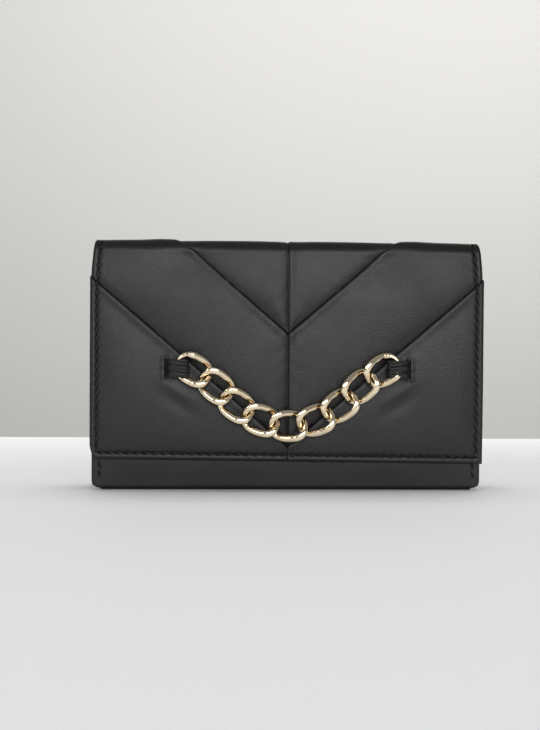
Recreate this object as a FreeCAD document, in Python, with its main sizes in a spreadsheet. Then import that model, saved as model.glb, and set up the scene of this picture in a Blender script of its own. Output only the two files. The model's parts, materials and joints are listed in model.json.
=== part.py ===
import FreeCAD, Part
import math
import os
import Sketcher

Vector = FreeCAD.Vector
Rotation = FreeCAD.Rotation

doc = FreeCAD.newDocument("ChainWallet")

# Driving dimensions, in millimetres and degrees. +Z is up, X runs across the wallet and its
# front faces -Y. The origin is the middle of the face that the wallet stands on.
dimensions = {
    # flap and the round fold over the top
    "flapWidth": 190, "totalHeight": 120, "flapBottom": 13.7, "flapFace": 15.4,
    "flapLining": 0.6, "topRadius": 6, "foldGapAngle": 3, "topWidth": 186, "topTaper": 8,
    # seams between the six padded panels
    "centreSeam": 75.4, "upperSlope": 0.86, "lowerSeam": 21.3, "lowerSlope": 0.853,
    # the case
    "bodyWidth": 188.4, "bodyHalf": 12, "leather": 1.6, "board": 0.8, "lining": 0.6,
    "baseRadius": 2, "cornerRadius": 4, "pocketTop": 100, "margin": 1.2, "baseGap": 0.3,
    # card slots, zipped pocket and folding sides
    "slotLeather": 0.8, "slotWidth": 172, "slotStep": 12, "slotTop": 94, "slotDepth": 56,
    "wallThick": 0.6, "wallGap": 2.8, "zipLine": 0.4, "wallTop": 88, "wallWidth": 183,
    "gussetOuter": 92.3, "gussetFold": 85.7, "gussetThick": 0.8, "gussetTop": 86,
    "innerBottom": 3.2, "clearance": 0.05,
    # zip
    "tapeThick": 0.5, "tapeDepth": 8, "toothDepth": 1.4, "toothGap": 1, "toothTall": 1.4,
    "toothLong": 1.2, "toothPitch": 2.4, "teethHalf": 78, "tapeRise": 0.3,
    "sliderLength": 9, "sliderWidth": 6, "sliderPlace": 74, "sliderPlate": 1,
    "pullLength": 17, "pullWidth": 5, "pullThick": 1,
    # snap fastener
    "snapHeight": 32, "snapRadius": 6, "studRadius": 3.2, "socketHole": 3.7, "washerRadius": 5,
    "studReach": 1.4,
    # stitching
    "threadLong": 3, "threadWide": 0.6, "threadThick": 0.2, "threadPitch": 4.4,
    "grooveWide": 1, "flapStitchInset": 3.4, "bodyStitchInset": 3.7,
    # chain and its tabs
    "chainPlane": 20.1, "chainLow": 31.3, "linkLength": 18.8, "linkWidth": 14.6,
    "linkWire": 2.3, "linkTwist": 2.4, "chainPitch": 13.4,
    "tabHeight": 58.5, "tabOuter": 57.9, "tabInner": 47.3, "tabBreadth": 7.8, "tabDepth": 5.4,
    "tabRound": 1.5, "tabPlay": 0.3, "rootLong": 3, "rootFront": 21.4,
}
sheet = doc.addObject("Spreadsheet::Sheet", "Dimensions")
for row, (alias, value) in enumerate(dimensions.items(), start=1):
    sheet.set(f"A{row}", alias)
    sheet.set(f"B{row}", str(value))
    sheet.setAlias(f"B{row}", alias)
doc.recompute()


def number(text):
    """The value of an expression in which @word is a cell of the sheet."""
    for alias in sorted(dimensions, key=len, reverse=True):
        text = text.replace("@" + alias, str(float(getattr(sheet, alias))))
    return float(FreeCAD.Units.Quantity(text))


def bind(obj, **expressions):
    """Bind properties to expressions in which @word is a cell of the sheet."""
    for name, text in expressions.items():
        path = ".Placement.Base." + name if name in ("x", "y", "z") else name
        obj.setExpression(path, text.replace("@", "Dimensions."))
    return obj


subparts = []


def subpart(obj, label):
    """Name a finished sub-part: its Label is its node's name."""
    obj.Label = label
    subparts.append(obj)
    return obj


def box(name, x0, x1, y0, y1, z0, z1):
    """A block between six planes, each an expression in the sheet's words."""
    block = doc.addObject("Part::Box", name)
    return bind(block, Length=f"({x1}) - ({x0})", Width=f"({y1}) - ({y0})",
                Height=f"({z1}) - ({z0})", x=x0, y=y0, z=z0)


def rod(name, radius, y0, y1, x, z):
    """A round rod along Y."""
    cylinder = doc.addObject("Part::Cylinder", name)
    cylinder.Placement.Rotation = Rotation(Vector(1, 0, 0), -90)
    return bind(cylinder, Radius=radius, Height=f"({y1}) - ({y0})", x=x, y=y0, z=z)


def fuse(name, *shapes):
    """The given shapes joined into one."""
    result = doc.addObject("Part::MultiFuse", name)
    result.Shapes = list(shapes)
    result.Refine = True
    return result


def cut(name, base, tool):
    """The base with the tool taken away."""
    result = doc.addObject("Part::Cut", name)
    result.Base = base
    result.Tool = tool
    return result


def common(name, base, tool):
    """What the base and the tool share."""
    result = doc.addObject("Part::Common", name)
    result.Base = base
    result.Tool = tool
    return result


def fold(name, half, y, z, outer, inner, start, sweep):
    """A slice of a round fold that runs along X, about the line (y, z).

    start and sweep are in degrees, from +Y towards +Z.
    """
    along = Rotation(Vector(1, 1, 1), 120)
    solid = doc.addObject("Part::Cylinder", name + "Outer")
    solid.Placement.Rotation = Rotation(Vector(1, 0, 0), number(start)).multiply(along)
    bind(solid, Radius=outer, Height=f"2 * ({half})", Angle=sweep, x=f"-({half})", y=y, z=z)
    hollow = doc.addObject("Part::Cylinder", name + "Inner")
    hollow.Placement.Rotation = along
    bind(hollow, Radius=inner, Height=f"2 * ({half}) + 2", x=f"-({half}) - 1", y=y, z=z)
    return cut(name, solid, hollow)


def outline(name, corners, owner=None, plane="XZ_Plane"):
    """A closed sketch of straight lines: each corner is a pair of expressions."""
    if owner is None:
        sketch = doc.addObject("Sketcher::SketchObject", name)
        sketch.Placement.Rotation = Rotation(Vector(1, 0, 0), 90 if plane == "XZ_Plane" else 0)
    else:
        sketch = owner.newObject("Sketcher::SketchObject", name)
        base = [item for item in owner.Origin.OriginFeatures if item.Role == plane]
        sketch.AttachmentSupport = [(base[0], "")]
        sketch.MapMode = "FlatFace"
    places = [Vector(number(across), number(up), 0) for across, up in corners]
    count = len(places)
    for i in range(count):
        sketch.addGeometry(Part.LineSegment(places[i], places[(i + 1) % count]))
    for i in range(count):
        sketch.addConstraint(Sketcher.Constraint("Coincident", i, 2, (i + 1) % count, 1))
    for i, (across, up) in enumerate(corners):
        for kind, value, text in (("DistanceX", places[i].x, across),
                                  ("DistanceY", places[i].y, up)):
            index = sketch.addConstraint(Sketcher.Constraint(kind, -1, 1, i, 1, value))
            sketch.setExpression(f"Constraints[{index}]", text.replace("@", "Dimensions."))
    return sketch


def prism(name, corners, plane, length, symmetric=False):
    """An outline pushed out along its plane's own normal."""
    solid = doc.addObject("Part::Extrusion", name)
    solid.Base = outline(name + "Outline", corners, plane=plane)
    solid.DirMode = "Normal"
    solid.Solid = True
    solid.Symmetric = symmetric
    return bind(solid, LengthFwd=length)


def padded(label, plane, corners, length, midplane=True):
    """A PartDesign body: one outline padded to both sides of its plane."""
    body = doc.addObject("PartDesign::Body", label + "Body")
    sketch = outline(label + "Sketch", corners, body, plane)
    pad = body.newObject("PartDesign::Pad", label + "Pad")
    pad.Profile = sketch
    pad.Midplane = midplane
    bind(pad, Length=length)
    doc.recompute()
    return body


# ---- places that several pieces share ------------------------------------------------------
flapBack = "-@flapFace + @leather"
flapBoardBack = flapBack + " + @board"
flapInside = flapBoardBack + " + @flapLining"
foldHeight = "@totalHeight - @topRadius"
frontFoldY = "-@flapFace + @topRadius"
backFoldY = "@bodyHalf - @topRadius"
leatherInner = "@topRadius - @leather"
liningOuter = "@topRadius - @leather - @board"
liningInner = liningOuter + " - @flapLining"
halfBody = "@bodyWidth / 2"
halfTop = "@topWidth / 2"
halfFlap = "@flapWidth / 2"
eighth = "45 - @foldGapAngle"

# ---- blank of the case: its two lower corners are rounded ---------------------------------
caseBlock = box("CaseBlock", f"-({halfBody})", halfBody, "-30", "30", "0", "@totalHeight + 5")
caseBlank = doc.addObject("Part::Fillet", "CaseBlank")
caseBlank.Base = caseBlock
doc.recompute()
caseBlank.Edges = [
    (index, number("@cornerRadius"), number("@cornerRadius"))
    for index, edge in enumerate(caseBlock.Shape.Edges, start=1)
    if edge.BoundBox.ZMax < 1e-6 and edge.BoundBox.YLength > 1
]


def wallSheet(name, half, near, far, low):
    """A flat sheet of the back that ends in half of the round top fold."""
    flat = box(name + "Flat", f"-({half})", half, near, far, low, foldHeight)
    turn = fold(name + "Turn", half, backFoldY, foldHeight, f"({far}) - ({backFoldY})",
                f"({near}) - ({backFoldY})", "0", eighth)
    return flat, turn


# ---- the back: leather with the base, board, lining, base board ---------------------------
backFace = "@bodyHalf"
backLeatherIn = "@bodyHalf - @leather"
backBoardIn = backLeatherIn + " - @board"
backInside = backBoardIn + " - @lining"
backFlat, backTurn = wallSheet("BackLeather", halfBody, backLeatherIn, backFace, "@baseRadius")
baseTurn = fold("BaseTurn", halfBody, "@bodyHalf - @baseRadius", "@baseRadius", "@baseRadius",
                "@baseRadius - @leather", "270", "90")
baseFlat = box("BaseFlat", f"-({halfBody})", halfBody,
               "-@bodyHalf + @baseRadius + @baseGap", "@bodyHalf - @baseRadius", "0", "@leather")
backSkin = common("BackSkin", fuse("BackSheet", backFlat, backTurn, baseTurn, baseFlat),
                  caseBlank)
# The stitches of the back lie flush in two grooves, so that it rests flat.
stitchLow = "@cornerRadius + 2"
grooves = []
for name, sign in (("Left", "-1"), ("Right", "1")):
    middle = f"{sign} * (@bodyWidth / 2 - @bodyStitchInset)"
    grooves.append(box("Groove" + name, f"{middle} - @grooveWide / 2",
                       f"{middle} + @grooveWide / 2", "@bodyHalf - @threadThick",
                       "@bodyHalf + 1", stitchLow, foldHeight))
subpart(cut("BackPanel", backSkin, fuse("Grooves", *grooves)), "back_panel")
halfBoard = "@bodyWidth / 2 - @margin"
subpart(box("BackBoard", f"-({halfBoard})", halfBoard, backBoardIn, backLeatherIn,
            "@innerBottom", foldHeight), "back_board")
liningFlat, liningTurn = wallSheet("BackLining", halfBoard, backInside, backBoardIn,
                                   "@innerBottom")
subpart(fuse("BackLiningSheet", liningFlat, liningTurn), "back_lining")
subpart(box("BaseBoard", f"-({halfBoard}) + @cornerRadius", f"({halfBoard}) - @cornerRadius",
            "-@bodyHalf + @leather + @board + @lining + @baseGap", backInside,
            "@leather", "@leather + @board"), "base_board")

# ---- card slots: three leather strips on the back lining, each lower than the last --------
for i in range(3):
    far = f"({backInside}) - {i} * @slotLeather"
    top = f"@slotTop - {i} * @slotStep"
    subpart(box(f"CardSlot{i + 1}", "-@slotWidth / 2", "@slotWidth / 2",
                f"({far}) - @slotLeather", far, f"({top}) - @slotDepth", top),
            f"card_slot_{i + 1}")

# ---- zipped pocket: two lining walls, tapes, teeth and end stops ---------------------------
wallHalf = "@wallWidth / 2"
for side, sign in (("front", "-1"), ("back", "1")):
    name = side.capitalize()
    near = f"-@zipLine + {sign} * @wallGap / 2"
    middle = f"({near}) + {sign} * @wallThick / 2"
    subpart(box(f"Divider{name}", f"-({wallHalf})", wallHalf, f"({middle}) - @wallThick / 2",
                f"({middle}) + @wallThick / 2", "@innerBottom", "@wallTop"), f"divider_{side}")
    middle = f"({near}) - {sign} * @tapeThick / 2"
    subpart(box(f"ZipTape{name}", "-@teethHalf - 4", "@teethHalf + 4",
                f"({middle}) - @tapeThick / 2", f"({middle}) + @tapeThick / 2",
                "@wallTop - @tapeDepth", "@wallTop + @tapeRise"), f"zip_tape_{side}")
toothLow = "@wallTop + @tapeRise"
toothHigh = toothLow + " + @toothTall"
toothReach = "@toothGap / 2 + @toothDepth"


def group(label, solids):
    """Many small equal pieces that share one node."""
    feature = doc.addObject("Part::Feature", label + "Group")
    feature.Shape = Part.makeCompound(solids)
    return subpart(feature, label)


def block(x0, y0, z0, dx, dy, dz):
    """One small loose block."""
    return Part.makeBox(dx, dy, dz, Vector(x0, y0, z0))


toothCount = int(2 * number("@teethHalf") / number("@toothPitch"))
firstTooth = -(toothCount - 1) / 2 * number("@toothPitch")
for side, start in (("front", "-@zipLine - (" + toothReach + ")"),
                    ("back", "-@zipLine + @toothGap / 2")):
    shift = 0 if side == "front" else number("@toothPitch") / 2
    group(f"zip_teeth_{side}", [
        block(firstTooth + i * number("@toothPitch") + shift - number("@toothLong") / 2,
              number(start), number(toothLow), number("@toothLong"), number("@toothDepth"),
              number("@toothTall"))
        for i in range(toothCount - 1)
    ])
stopLong = 1.6
group("zip_stops", [
    block(sign * number("@teethHalf + 2") - stopLong / 2,
          number("-@zipLine - (" + toothReach + ")"), number(toothLow), stopLong,
          number("2 * (" + toothReach + ")"), number("@toothTall"))
    for sign in (-1, 1)
])

# ---- zip slider: one section along the zip that wraps the teeth, with a bail for the pull --
play = 0.35
sliderTop = f"({toothHigh}) + {play} + @sliderPlate"
wedge, keel, keelDepth = 0.2, 0.55, 1.2
section = [
    ("@sliderWidth / 2", sliderTop), ("-@sliderWidth / 2", sliderTop),
    ("-@sliderWidth / 2", toothLow),
    (f"-({toothReach}) - {play}", toothLow),
    (f"-({toothReach}) - {play}", f"({toothHigh}) + {play}"),
    (f"-{wedge}", f"({toothHigh}) + {play}"), (f"-{wedge}", f"({toothLow}) - {play}"),
    (f"-{keel}", f"({toothLow}) - {play}"), (f"-{keel}", f"({toothLow}) - {keelDepth}"),
    (f"{keel}", f"({toothLow}) - {keelDepth}"), (f"{keel}", f"({toothLow}) - {play}"),
    (f"{wedge}", f"({toothLow}) - {play}"), (f"{wedge}", f"({toothHigh}) + {play}"),
    (f"({toothReach}) + {play}", f"({toothHigh}) + {play}"),
    (f"({toothReach}) + {play}", toothLow), ("@sliderWidth / 2", toothLow),
]
sliderBlock = padded("SliderBlock", "YZ_Plane", section, "@sliderLength")
bind(sliderBlock, x="@sliderPlace", y="-@zipLine")
bailTall, bailHalf, bailHalfThick = 2.4, 3, 0.5
holeHalf, holeLow, holeHigh = 1.9, 0.2, 1.8
bailPlate = box("BailPlate", f"@sliderPlace - {bailHalf}", f"@sliderPlace + {bailHalf}",
                f"-@zipLine - {bailHalfThick}", f"-@zipLine + {bailHalfThick}", sliderTop,
                f"({sliderTop}) + {bailTall}")
bailHole = box("BailHole", f"@sliderPlace - {holeHalf}", f"@sliderPlace + {holeHalf}",
               f"-@zipLine - {2 * bailHalfThick}", f"-@zipLine + {2 * bailHalfThick}",
               f"({sliderTop}) + {holeLow}", f"({sliderTop}) + {holeHigh}")
subpart(fuse("ZipSlider", sliderBlock, cut("Bail", bailPlate, bailHole)), "zip_slider")

# ---- zip pull: a cross bar through the bail, two arms and a blade that lies along the zip --
pivotRise = 1
windowLong, windowHalf, windowPast = 4.5, 1.3, 1
pivotHeight = f"({sliderTop}) + {pivotRise}"
bar = rod("PullBar", "@pullThick / 2", "-@zipLine - @pullWidth / 2",
          "-@zipLine + @pullWidth / 2", "@sliderPlace", pivotHeight)
bladeLow = f"({pivotHeight}) - @pullThick / 2"
bladeHigh = f"({pivotHeight}) + @pullThick / 2"
blade = box("PullBlade", "@sliderPlace - @pullLength", "@sliderPlace",
            "-@zipLine - @pullWidth / 2", "-@zipLine + @pullWidth / 2", bladeLow, bladeHigh)
window = box("PullWindow", f"@sliderPlace - {windowLong}", f"@sliderPlace + {windowPast}",
             f"-@zipLine - {windowHalf}", f"-@zipLine + {windowHalf}",
             f"({bladeLow}) - {windowPast}", f"({bladeHigh}) + {windowPast}")
subpart(fuse("ZipPull", cut("PullFrame", blade, window), bar), "zip_pull")


# ---- folding sides: a sheet creased inwards, between two walls ----------------------------
def gusset(label, sign, y0, y1):
    """A V-shaped side, sewn to the walls at y0 and y1, with its crease inside."""
    crease = f"(({y0}) + ({y1})) / 2"
    corners = [
        (f"{sign} * @gussetOuter", y0), (f"{sign} * @gussetFold", crease),
        (f"{sign} * @gussetOuter", y1), (f"{sign} * (@gussetOuter - @gussetThick)", y1),
        (f"{sign} * (@gussetFold - @gussetThick)", crease),
        (f"{sign} * (@gussetOuter - @gussetThick)", y0),
    ]
    side = prism(label, corners, "XY_Plane", "@gussetTop - @innerBottom")
    subpart(bind(side, z="@innerBottom"), label)


frontInside = "-@bodyHalf + @leather + @board + @lining"
for side, sign in (("left", "-1"), ("right", "1")):
    gusset(f"gusset_front_{side}", sign, f"({frontInside}) + @clearance",
           "-@zipLine - @wallGap / 2 - @wallThick - @clearance")
    gusset(f"gusset_back_{side}", sign,
           "-@zipLine + @wallGap / 2 + @wallThick + @clearance", f"({backInside}) - @clearance")

# ---- front pocket: leather with half of the base fold, board, lining and snap socket ------
snapX = "0"
frontTurn = fold("FrontTurn", halfBody, "-@bodyHalf + @baseRadius", "@baseRadius",
                 "@baseRadius", "@baseRadius - @leather", "180", "90")
frontFlat = box("FrontFlat", f"-({halfBody})", halfBody, "-@bodyHalf", "-@bodyHalf + @leather",
                "@baseRadius", "@pocketTop")
frontSkin = common("FrontSkin", fuse("FrontSheet", frontFlat, frontTurn), caseBlank)
socketSeat = rod("SocketSeat", "@snapRadius", "-@bodyHalf - 1", "-@bodyHalf + @leather + 0.01",
                 snapX, "@snapHeight")
subpart(cut("FrontPanel", frontSkin, socketSeat), "front_panel")
frontBoardBlank = box("FrontBoardBlank", f"-({halfBoard})", halfBoard, "-@bodyHalf + @leather",
                      "-@bodyHalf + @leather + @board", "@innerBottom", "@pocketTop - @margin")
washerSeat = rod("WasherSeat", "@washerRadius", "-@bodyHalf", "0", snapX, "@snapHeight")
subpart(cut("FrontBoard", frontBoardBlank, washerSeat), "front_board")
subpart(box("FrontLining", f"-({halfBoard})", halfBoard, "-@bodyHalf + @leather + @board",
            frontInside, "@innerBottom", "@pocketTop"), "front_lining")
socketBlank = rod("SocketBlank", "@snapRadius", "-@bodyHalf", "-@bodyHalf + @leather", snapX,
                  "@snapHeight")
socketBore = rod("SocketBore", "@socketHole", "-@bodyHalf - 1", "-@bodyHalf + @leather + 1",
                 snapX, "@snapHeight")
subpart(cut("SnapSocket", socketBlank, socketBore), "snap_socket")
subpart(rod("SocketWasher", "@washerRadius", "-@bodyHalf + @leather",
            "-@bodyHalf + @leather + @board", snapX, "@snapHeight"), "snap_socket_washer")

# ---- spine: the top of the wallet, between the two round folds ----------------------------
def spineSheet(name, outer, inner):
    """A flat strip over the top with an eighth of each round fold at its edges."""
    flat = box(name + "Flat", f"-({halfTop})", halfTop, frontFoldY, backFoldY,
               f"({foldHeight}) + ({inner})", f"({foldHeight}) + ({outer})")
    front = fold(name + "Front", halfTop, frontFoldY, foldHeight, outer, inner, "90", eighth)
    back = fold(name + "Back", halfTop, backFoldY, foldHeight, outer, inner,
                "45 + @foldGapAngle", eighth)
    return fuse(name, flat, front, back)


subpart(spineSheet("SpineLeather", "@topRadius", leatherInner), "spine_leather")
subpart(spineSheet("SpineLining", liningOuter, liningInner), "spine_lining")
subpart(box("SpineBoard", f"-({halfTop}) + @margin", f"({halfTop}) - @margin", frontFoldY,
            backFoldY, f"({foldHeight}) + ({liningOuter})",
            f"({foldHeight}) + ({leatherInner})"), "spine_board")


# ---- flap: six leather panels in one skin, board, lining, snap stud -----------------------
def flapSheet(name, half, near, far, low):
    """A flat sheet of the flap that ends in half of the round top fold."""
    flat = box(name + "Flat", f"-({half})", half, near, far, low, foldHeight)
    turn = fold(name + "Turn", half, frontFoldY, foldHeight, f"({frontFoldY}) - ({near})",
                f"({frontFoldY}) - ({far})", "135 + @foldGapAngle", eighth)
    return fuse(name, flat, turn)


flapSkin = flapSheet("FlapSkin", halfFlap, "-@flapFace", flapBack, "@flapBottom")
above = "@totalHeight + 1"
taperLow = "@totalHeight - @topTaper"
upperAcross = f"(({above}) - @centreSeam) / @upperSlope"
sideSeam = f"@lowerSeam + @lowerSlope * {halfFlap}"
panels = {
    "upper": [("0", "@centreSeam"), (upperAcross, above), ("0", above)],
    "middle": [("0", "@lowerSeam"), (halfFlap, sideSeam), (halfFlap, taperLow),
               (halfTop, above), (upperAcross, above), ("0", "@centreSeam")],
    "lower": [("0", "@flapBottom"), (halfFlap, "@flapBottom"), (halfFlap, sideSeam),
              ("0", "@lowerSeam")],
}
for level, corners in panels.items():
    for side, sign in (("left", "-1"), ("right", "1")):
        name = f"flap_{level}_{side}"
        mirrored = [(f"{sign} * ({across})", up) for across, up in corners]
        cutter = prism(name + "Cutter", mirrored, "XZ_Plane", "60", symmetric=True)
        subpart(common(name + "Panel", flapSkin, cutter), name)
halfFlapBoard = f"{halfFlap} - @margin"
studSeat = rod("StudSeat", "@snapRadius", flapBoardBack, "0", snapX, "@snapHeight")
studWasherSeat = rod("StudWasherSeat", "@washerRadius", "-@flapFace", "0", snapX, "@snapHeight")
flapBoardBlank = box("FlapBoardBlank", f"-({halfFlapBoard})", halfFlapBoard, flapBack,
                     flapBoardBack, "@flapBottom + @margin", "@totalHeight - @topTaper")
subpart(cut("FlapBoard", flapBoardBlank, studWasherSeat), "flap_board")
flapLiningSheet = flapSheet("FlapLiningSheet", halfTop, flapBoardBack, flapInside,
                            "@flapBottom + @margin / 2")
subpart(cut("FlapLining", flapLiningSheet, studSeat), "flap_lining")
studPlate = rod("StudPlate", "@snapRadius", flapBoardBack, flapInside, snapX, "@snapHeight")
studPost = rod("StudPost", "@studRadius", flapInside, f"({flapInside}) + @studReach", snapX,
               "@snapHeight")
subpart(fuse("SnapStud", studPlate, studPost), "snap_stud")
subpart(rod("StudWasher", "@washerRadius", flapBack, flapBoardBack, snapX, "@snapHeight"),
        "snap_stud_washer")

# ---- stitching: separate stitches that lie on the leather ---------------------------------
pitch = number("@threadPitch")
long, wide, thick = (number("@threadLong"), number("@threadWide"), number("@threadThick"))


def upright(x, y, low, high):
    """A column of stitches between two heights."""
    count = int((high - low) / pitch)
    return [block(x - wide / 2, y, low + i * pitch, wide, thick, long) for i in range(count)]


def level(z, y, reach):
    """A row of stitches from -reach to +reach."""
    count = int(2 * reach / pitch)
    return [block((i - count / 2) * pitch, y, z - wide / 2, long, thick, wide)
            for i in range(count)]


flapFaceY = number("-@flapFace") - thick
flapSide = number(f"{halfFlap} - @flapStitchInset")
flapRow = number("@flapBottom + @flapStitchInset")
bodySide = number(f"{halfBody} - @bodyStitchInset")
lowest = number(stitchLow)
group("flap_stitching", level(flapRow, flapFaceY, flapSide - long)
      + upright(-flapSide, flapFaceY, flapRow + long, number(taperLow))
      + upright(flapSide, flapFaceY, flapRow + long, number(taperLow)))
group("front_stitching", [
    stitch for x in (-bodySide, bodySide)
    for stitch in upright(x, number("-@bodyHalf") - thick, lowest, number("@pocketTop"))])
group("back_stitching", [
    stitch for x in (-bodySide, bodySide)
    for stitch in upright(x, number("@bodyHalf") - thick, lowest, number(foldHeight))])

# ---- chain: nine twisted oval links that hang in a bow between the two tabs ----------------
runSlopes = [12, 31, 43, 36]
linkTilts = [0, 18, 34, 40, 30]
linkPoints = 16


def loopRoute(length, width, wire, twist, squareness=2.4):
    """Corner points of one link: an oval whose opposite shoulders lean out of its plane."""
    along, across = (length - wire) / 2, (width - wire) / 2
    points = []
    for i in range(linkPoints):
        turn = 2 * math.pi * (i + 0.5) / linkPoints
        points.append(Vector(
            along * math.copysign(abs(math.cos(turn)) ** (2 / squareness), math.cos(turn)),
            twist * math.sin(2 * turn),
            across * math.copysign(abs(math.sin(turn)) ** (2 / squareness), math.sin(turn))))
    return points


def roundedWire(points):
    """Straight runs joined by tangent arcs, closed, with each arc as large as its runs allow."""
    count = len(points)
    arcs = []
    for i in range(count):
        before, corner, after = points[i - 1], points[i], points[(i + 1) % count]
        reach = 0.45 * min(corner.distanceToPoint(before), corner.distanceToPoint(after))
        back = (before - corner).normalize()
        ahead = (after - corner).normalize()
        inward = (back + ahead).normalize()
        halfAngle = math.acos(max(-1, min(1, back.dot(inward))))
        radius = reach * math.tan(halfAngle)
        centre = corner + inward * (reach / math.cos(halfAngle))
        arcs.append((corner + back * reach, centre - inward * radius, corner + ahead * reach))
    edges = []
    for i in range(count):
        start, middle, end = arcs[i]
        edges.append(Part.Arc(start, middle, end).toShape())
        edges.append(Part.LineSegment(end, arcs[(i + 1) % count][0]).toShape())
    return Part.Wire(edges)


def ring(wire, grow=0):
    """The solid of one link, lying in the XZ plane about the origin; grow fattens its wire."""
    route = roundedWire(loopRoute(number("@linkLength"), number("@linkWidth"), wire,
                                  number("@linkTwist")))
    half = len(route.Edges) // 2
    halves = []
    for edges in (route.Edges[:half], route.Edges[half:]):
        start = edges[0].FirstParameter
        circle = Part.makeCircle(wire / 2 + grow, edges[0].valueAt(start),
                                 edges[0].tangentAt(start))
        halves.append(Part.Wire(edges).makePipeShell([Part.Wire(circle)], True, False))
    solid = halves[0].fuse(halves[1])
    area = math.pi * (wire / 2 + grow) ** 2
    print(f"link: volume {solid.Volume:.1f}, section x length {area * route.Length:.1f}")
    return solid.Solids[0]


linkSolid = ring(number("@linkWire"))
fatLink = ring(number("@linkWire"), grow=0.15)
centres = [(0.0, number("@chainLow"))]
for slope in runSlopes:
    x, z = centres[-1]
    step = number("@chainPitch")
    centres.append((x + step * math.cos(math.radians(slope)),
                    z + step * math.sin(math.radians(slope))))


def laid(solid, index):
    """A link turned and moved to its place; index runs from -4 at the left to 4."""
    x, z = centres[abs(index)]
    tilt = math.copysign(linkTilts[abs(index)], index)
    placed = solid.copy()
    placed.Placement = FreeCAD.Placement(
        Vector(math.copysign(x, index), -number("@chainPlane"), z),
        Rotation(Vector(0, -1, 0), tilt))
    return placed


for index in range(-4, 5):
    link = doc.addObject("Part::Feature", f"Link{index + 5}")
    placed = laid(linkSolid, index)
    link.Shape = linkSolid
    link.Placement = placed.Placement
    subpart(link, f"chain_link_{index + 5}")

# ---- tabs: a strap from the slit in the flap round the end link ---------------------------
halfTab = "@tabBreadth / 2"
for side, sign, index in (("left", -1, -4), ("right", 1, 4)):
    name = side.capitalize()

    def across(near, far):
        """The two X planes of a block between near and far from the middle."""
        return (near, far) if sign > 0 else (f"-({far})", f"-({near})")

    low, high = f"@tabHeight - {halfTab}", f"@tabHeight + {halfTab}"
    x0, x1 = across("@tabInner", "@tabOuter")
    strap = box(f"TabStrap{name}", x0, x1, "-@chainPlane - @tabDepth / 2",
                "-@chainPlane + @tabDepth / 2", low, high)
    doc.recompute()
    rounded = doc.addObject("Part::Fillet", f"TabRounded{name}")
    rounded.Base = strap
    rounded.Edges = [(i, number("@tabRound"), number("@tabRound"))
                     for i, edge in enumerate(strap.Shape.Edges, start=1)
                     if edge.BoundBox.XLength > 1]
    passage = doc.addObject("Part::Feature", f"TabPassage{name}")
    passage.Shape = fatLink
    passage.Placement = laid(fatLink, index).Placement
    subpart(cut(f"TabLoop{name}", rounded, passage), f"tab_loop_{side}")
    x0, x1 = across("@tabOuter + @tabPlay", "@tabOuter + @tabPlay + @rootLong")
    subpart(box(f"TabRoot{name}", x0, x1, "-@rootFront", "-@flapFace", low, high),
            f"tab_root_{side}")

# ---- check and write ----------------------------------------------------------------------
doc.recompute()
failed = [item.Name for item in doc.Objects if {"Invalid", "Error"} & set(item.State)]
if failed:
    raise RuntimeError(f"objects that failed: {failed}")
for piece in subparts:
    if piece.Shape.isNull() or not piece.Shape.isValid() or not piece.Shape.Solids:
        raise RuntimeError(f"{piece.Label} has no valid solid")
os.makedirs("parts", exist_ok=True)
for piece in subparts:
    piece.Shape.exportStep(f"parts/{piece.Label}.step")
    print(f"{piece.Label}: {len(piece.Shape.Solids)} solid(s), {piece.Shape.Volume:.0f} mm3")
print(f"{len(subparts)} sub-parts")
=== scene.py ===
import json
import math

import bmesh
import bpy
import numpy as np
from mathutils import Matrix, Vector


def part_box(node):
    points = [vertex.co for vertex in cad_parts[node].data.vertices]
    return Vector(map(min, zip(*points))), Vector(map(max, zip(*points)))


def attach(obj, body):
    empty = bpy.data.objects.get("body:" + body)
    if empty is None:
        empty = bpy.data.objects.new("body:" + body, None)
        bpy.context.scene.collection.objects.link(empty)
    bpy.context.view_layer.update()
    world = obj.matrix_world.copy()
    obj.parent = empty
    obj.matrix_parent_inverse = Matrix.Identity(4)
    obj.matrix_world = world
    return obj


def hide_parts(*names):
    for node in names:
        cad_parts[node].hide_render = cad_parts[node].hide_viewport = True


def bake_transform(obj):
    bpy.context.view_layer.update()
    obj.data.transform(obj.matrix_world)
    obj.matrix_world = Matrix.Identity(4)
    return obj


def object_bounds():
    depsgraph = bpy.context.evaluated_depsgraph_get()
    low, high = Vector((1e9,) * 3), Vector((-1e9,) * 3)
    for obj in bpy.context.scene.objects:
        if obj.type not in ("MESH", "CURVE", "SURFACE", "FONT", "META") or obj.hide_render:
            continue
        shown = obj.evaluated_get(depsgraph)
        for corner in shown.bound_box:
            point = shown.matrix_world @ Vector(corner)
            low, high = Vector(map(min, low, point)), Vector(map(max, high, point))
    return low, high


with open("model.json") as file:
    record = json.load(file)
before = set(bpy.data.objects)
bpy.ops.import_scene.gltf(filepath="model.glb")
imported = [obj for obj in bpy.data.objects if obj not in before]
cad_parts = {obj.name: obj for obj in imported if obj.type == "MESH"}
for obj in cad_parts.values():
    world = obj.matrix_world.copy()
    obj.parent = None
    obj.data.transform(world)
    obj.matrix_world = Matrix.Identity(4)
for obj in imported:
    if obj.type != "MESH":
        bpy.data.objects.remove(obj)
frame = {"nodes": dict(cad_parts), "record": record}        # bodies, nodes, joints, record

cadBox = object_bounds()
mm = 0.001


def spot(node):
    # lowest and highest corner of a node, in millimetres
    low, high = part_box(node)
    return Vector(low) / mm, Vector(high) / mm


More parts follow.
